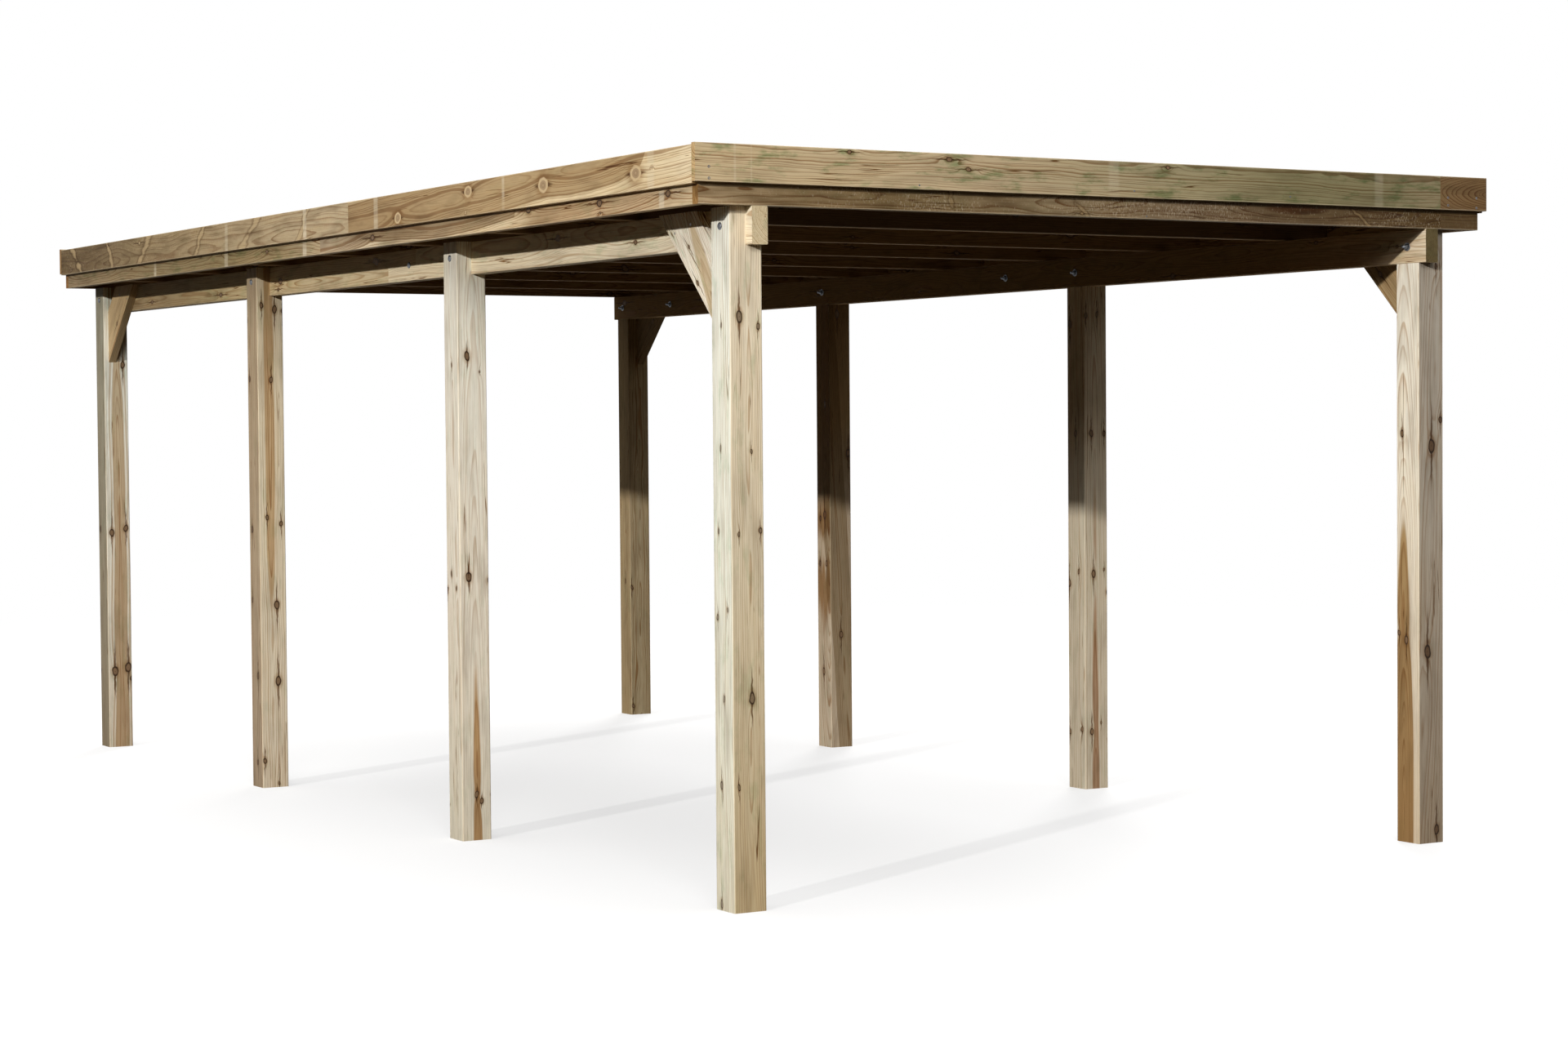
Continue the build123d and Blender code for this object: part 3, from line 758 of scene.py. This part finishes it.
# screws at the fascia's corners and joints, and two in each brace where it lies on the beam
# a brace's screws are given as (in from the post, up from the beam's bottom)
screwSizes = {
    "outline": [(0, -0.9), (1.9, -0.9), (2.1, 0.35), (3.7, 0.5), (4.5, 0.1), (4.5, -0.4)], "steps": 16,
    "cornerXs": (-1566, 1567), "cornerZs": (2297, 2262), "jointX": 1432, "jointZs": (2295, 2268),
    "postY": 2927.5, "beamZ": 2067, "braces": ((274, 56), (170, 78)),
}
s = screwSizes
screwSpots = [spot(x, end * fasciaY, z, (0, end, 0)) for end in both for x in s["cornerXs"] for z in s["cornerZs"]]
screwSpots += [spot(s["jointX"], end * fasciaY, z, (0, end, 0)) for end in both for z in s["jointZs"]]
screwSpots += [spot(side * braceX, end * (s["postY"] - inward), s["beamZ"] + up, (side, 0, 0))
               for side in both for end in both for inward, up in s["braces"]]
placed("fasciaScrews", turned(s["outline"], s["steps"]), screwSpots)

# nails along the front and rear fascia, and one in each of those rims
nailSizes = {
    "outline": [(0, 0.7), (2.2, 0.6), (3.2, 0.2), (3.2, -0.3)], "steps": 12, "rim": (114, 2194),
    "fascia": {-1: ((-802, 2265), (47, 2274), (712, 2276)), 1: ((-790, 2270), (20, 2274), (730, 2272))},
}
n = nailSizes
rimNailX, rimNailZ = n["rim"]
nailSpots = [spot(x, end * fasciaY, z, (0, end, 0)) for end in both for x, z in n["fascia"][end]]
nailSpots += [spot(rimNailX, end * rimY, rimNailZ, (0, end, 0)) for end in both]
placed("fasciaNails", turned(n["outline"], n["steps"]), nailSpots)
print("fasteners made")

# deck boards along the roof, chamfered below to show the V joints of tongued and grooved boards
deckLow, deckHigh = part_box("roof_deck")
deckSizes = {"boards": 27, "chamfer": 4, "gap": 0.6, "joints": (790, -742)}
deck = bmesh.new()
pitch = (deckHigh.x - deckLow.x) / deckSizes["boards"]
for number in range(deckSizes["boards"]):
    joint = deckSizes["joints"][number % 2] * mm  # over a rafter, staggered
    for lowY, highY in ((deckLow.y, joint), (joint, deckHigh.y)):
        gap = deckSizes["gap"] * mm
        size = Vector((pitch - gap, highY - lowY - gap, deckHigh.z - deckLow.z))
        centre = Vector((deckLow.x + (number + 0.5) * pitch, (lowY + highY) / 2, (deckLow.z + deckHigh.z) / 2))
        edges = dict.fromkeys(e for v in addBlock(deck, centre, size) for e in v.link_edges)
        lower = [e for e in edges if all(v.co.z < centre.z for v in e.verts)]
        lower = [e for e in lower if abs(e.verts[0].co.y - e.verts[1].co.y) > 0.1]  # the long ones
        bmesh.ops.bevel(deck, geom=lower, offset=deckSizes["chamfer"] * mm, affect="EDGES", segments=1,
                        profile=0.5, material=-1)
# a deeper brown than the posts: partly the wood's own colour, partly painted shade under the roof
deckLook = {
    "grain": "y", "pitch": pitch / mm, "tones": {0: "a2865b", 0.5: "ac9065", 1: "b4986c"},
    "pith": (6, 0, -50), "wander": 40, "seed": 120.5,
}
deckPine = treatedPine("pine_deck", deckLow, deckHigh, deckLook)
finishPiece("deckBoards", deck, deckPine, ["roof_deck"])

# roofing felt in four widths, each lapped over the last, and dressed up the inside of the fascia
feltLow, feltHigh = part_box("roof_felt")
feltSizes = {"widths": 4, "lap": 75, "clear": 2, "rise": 30, "sheet": 3, "upstand": 34, "seam": 14}
feltWidth = (feltHigh.x - feltLow.x) / feltSizes["widths"]


# bitumen felt with mineral chips: slate grey grit, water marks, dark bitumen along the laps
def makeFelt():
    material, add, shader, where = startMaterial("mineralFelt")
    grit = add("TexVoronoi", {"Scale": 1 / (3 * mm), "Vector": where["Object"]})
    chipStops = {0: "3d4143", 0.5: "555a5b", 1: "7b807e"}
    chips = add("ValToRGB", {"stops": chipStops, 0: grit.outputs["Color"]})
    water = add("TexNoise", {"Scale": 1 / (450 * mm), "Detail": 5, "Roughness": 0.6, "Vector": where["Object"]})
    waterStops = {0.3: "c6c3bb", 0.48: "eeece8", 0.56: "e0ded8", 0.7: "ffffff"}
    marks = add("ValToRGB", {"stops": waterStops, 0: water})
    mixed = add("Mix", {**tint, 0: 1, 6: chips, 7: marks})
    # bitumen squeezed out along each lap, its edge uneven
    across = add("SeparateXYZ", {0: where["Object"]})
    fromEdge = add("Math SUBTRACT", {0: across.outputs["X"], 1: feltLow.x})
    lap = add("Math PINGPONG", {0: fromEdge, 1: feltWidth / 2})
    ooze = add("TexNoise", {"Scale": 1 / (40 * mm), "Detail": 2, "Vector": where["Object"]})
    lapEdge = add("Math MULTIPLY_ADD", {0: ooze, 1: -2 * feltSizes["seam"] * mm, 2: lap})
    seam = add("MapRange", {0: lapEdge, 1: -2 * mm, 2: 2 * mm, 3: 1, 4: 0})
    seamed = add("Mix", {**blend, 0: seam, 6: mixed, 7: toLinear("232425")})
    rough = add("MapRange", {0: water, 1: 0.3, 2: 0.7, 3: 0.82, 4: 0.95})
    bump = add("Bump", {"Strength": 0.7, "Distance": 1.2 * mm, "Height": grit.outputs["Distance"]})
    fillNode(shader, {"Base Color": seamed, "Roughness": rough, "Normal": bump})
    return material


felt = bmesh.new()
thick = feltSizes["sheet"] * mm
for number in range(feltSizes["widths"]):
    lowX = feltLow.x + number * feltWidth
    highX = min(lowX + feltWidth + feltSizes["lap"] * mm, feltHigh.x)
    sheet = bmesh.new()
    centre = Vector(((lowX + highX) / 2, 0, feltLow.z + thick / 2))
    size = (highX - lowX, feltHigh.y - feltLow.y, thick)
    addBlock(sheet, centre, size)
    if number:
        # its low side lies on the sheet before, then drops to the deck
        lapX = lowX + (feltSizes["lap"] + feltSizes["clear"]) * mm
        for cutX in (lapX, lapX + feltSizes["rise"] * mm):
            whole = sheet.verts[:] + sheet.edges[:] + sheet.faces[:]
            bmesh.ops.bisect_plane(sheet, geom=whole, plane_co=(cutX, 0, 0), plane_no=(1, 0, 0))
        lapped = [v for v in sheet.verts if v.co.x < lapX + mm]
        bmesh.ops.translate(sheet, verts=lapped, vec=(0, 0, thick))
    sheetMesh = bpy.data.meshes.new("feltSheet")
    sheet.to_mesh(sheetMesh)
    sheet.free()
    felt.from_mesh(sheetMesh)
    bpy.data.meshes.remove(sheetMesh)
for axis, way in (("x", -1), ("x", 1), ("y", -1), ("y", 1)):
    reach = feltHigh.x if axis == "x" else feltHigh.y
    length = 2 * (feltHigh.y if axis == "x" else feltHigh.x)
    tall = feltSizes["upstand"] * mm
    centre = Vector((way * (reach - thick / 2), 0, feltLow.z + tall / 2))
    size = (thick, length, tall)
    addBlock(felt, centre, size, Matrix.Rotation(0 if axis == "x" else math.pi / 2, 4, "Z"))
finishPiece("feltSheets", felt, makeFelt(), ["roof_felt"])
print("deck and felt made")

# floor: pale, white to the camera further off, keeping the object's shadow; dull brown earth for bounced light
stageSizes = {"floor": 60, "nearShare": 0.62, "fadeStart": 5, "fadeEnd": 13}
stageTones = {"pale": (0.9, 0.9, 0.9, 1), "white": (1, 1, 1, 1), "bounce": (0.02, 0.014, 0.008, 1)}


# 1 for rays of sight, straight or off a gloss, and 0 for bounced light
def seenRays(add):
    path = add("LightPath").outputs
    shine = add("Math MAXIMUM", {0: path["Is Camera Ray"], 1: path["Is Glossy Ray"]})
    return add("Math MAXIMUM", {0: shine, 1: path["Is Transmission Ray"]})


ground = bmesh.new()
bmesh.ops.create_grid(ground, x_segments=1, y_segments=1, size=stageSizes["floor"])
floorPaint = bpy.data.materials.new("paleFloor")
floorPaint.use_nodes = True
floorPaint.node_tree.nodes.clear()
add = partial(addNode, floorPaint.node_tree)
where = add("TexCoord").outputs
distance = add("VectorMath LENGTH", {0: where["Object"]})
fadeRange = {1: stageSizes["fadeStart"], 2: stageSizes["fadeEnd"], 3: stageSizes["nearShare"], 4: 1}
fade = add("MapRange", {**smooth, **fadeRange, 0: distance})
pale = add("BsdfDiffuse", {"Color": stageTones["pale"]})
white = add("Emission", {"Color": stageTones["white"]})
seen = add("MixShader", {0: fade, 1: pale, 2: white})
dull = add("BsdfDiffuse", {"Color": stageTones["bounce"]})
floorShader = add("MixShader", {0: seenRays(add), 1: dull, 2: seen})
add("OutputMaterial", {0: floorShader})
floor = meshObject("floor", ground, floorPaint)

# sky: bright overhead, faint and warm at the horizon, plain white to the camera
skyFill = {"horizon": (0.05, 0.04, 0.026, 1), "overhead": (3.0, 2.97, 2.94, 1), "steepness": 4}
world = bpy.data.worlds.new("studio")
scene.world = world
world.use_nodes = True
world.node_tree.nodes.clear()
add = partial(addNode, world.node_tree)
where = add("TexCoord").outputs
rise = add("SeparateXYZ", {0: where["Generated"]})
above = add("Math MAXIMUM", {0: rise.outputs["Z"], 1: 0})
steep = add("Math POWER", {0: above, 1: skyFill["steepness"]})
glow = add("Mix", {**blend, 0: steep, 6: skyFill["horizon"], 7: skyFill["overhead"]})
fill = add("Background", {"Color": glow})
white = add("Background", {"Color": stageTones["white"]})
sky = add("MixShader", {0: seenRays(add), 1: fill, 2: white})
add("OutputWorld", {0: sky})

# a low key light from the left and front, as in the photograph, a softer front light, and one from behind
lampSettings = {
    "key": {"way": (3.0, 1.62, -1), "strength": 2.55, "softness": 1.4, "colour": (1, 0.99, 0.97)},
    "front": {"way": (0.9, 2.2, -1.11), "strength": 1.3, "softness": 20, "colour": (1, 1, 1)},
    "back": {"way": (-1.2, -1.5, -1.6), "strength": 1.7, "softness": 15, "colour": (1, 1, 1)},
}
for name, look in lampSettings.items():
    lamp = bpy.data.lights.new(name, "SUN")
    lamp.energy = look["strength"]
    lamp.angle = math.radians(look["softness"])
    lamp.color = look["colour"]
    sun = bpy.data.objects.new(name, lamp)
    sun.rotation_euler = Vector(look["way"]).to_track_quat("-Z", "Y").to_euler()
    scene.collection.objects.link(sun)

# camera at the photograph's place, fitted to the posts' feet and the roof's edges
cameraSettings = {
    "place": (-6.1653, -11.2476, 1.5141), "yaw": 0.5375, "pitch": 0.0321, "roll": -0.0078,
    "lens": 70.53, "sensor": 36, "reach": 200,
}
c = cameraSettings
yaw, dip, roll = c["yaw"], c["pitch"], c["roll"]
forward = Vector((math.sin(yaw) * math.cos(dip), math.cos(yaw) * math.cos(dip), -math.sin(dip)))
right = Vector((math.cos(yaw), -math.sin(yaw), 0))
up = right.cross(forward)
tiltRight = math.cos(roll) * right + math.sin(roll) * up
tiltUp = -math.sin(roll) * right + math.cos(roll) * up
lens = bpy.data.cameras.new("camera")
lens.sensor_width = c["sensor"]
lens.lens = c["lens"]
lens.clip_end = c["reach"]
camera = bpy.data.objects.new("camera", lens)
aimed = Matrix((tiltRight, tiltUp, -forward)).transposed().to_4x4()
camera.matrix_world = Matrix.Translation(c["place"]) @ aimed
scene.collection.objects.link(camera)
scene.camera = camera
scene.view_settings.view_transform = "Standard"
print("stage, light and camera set")
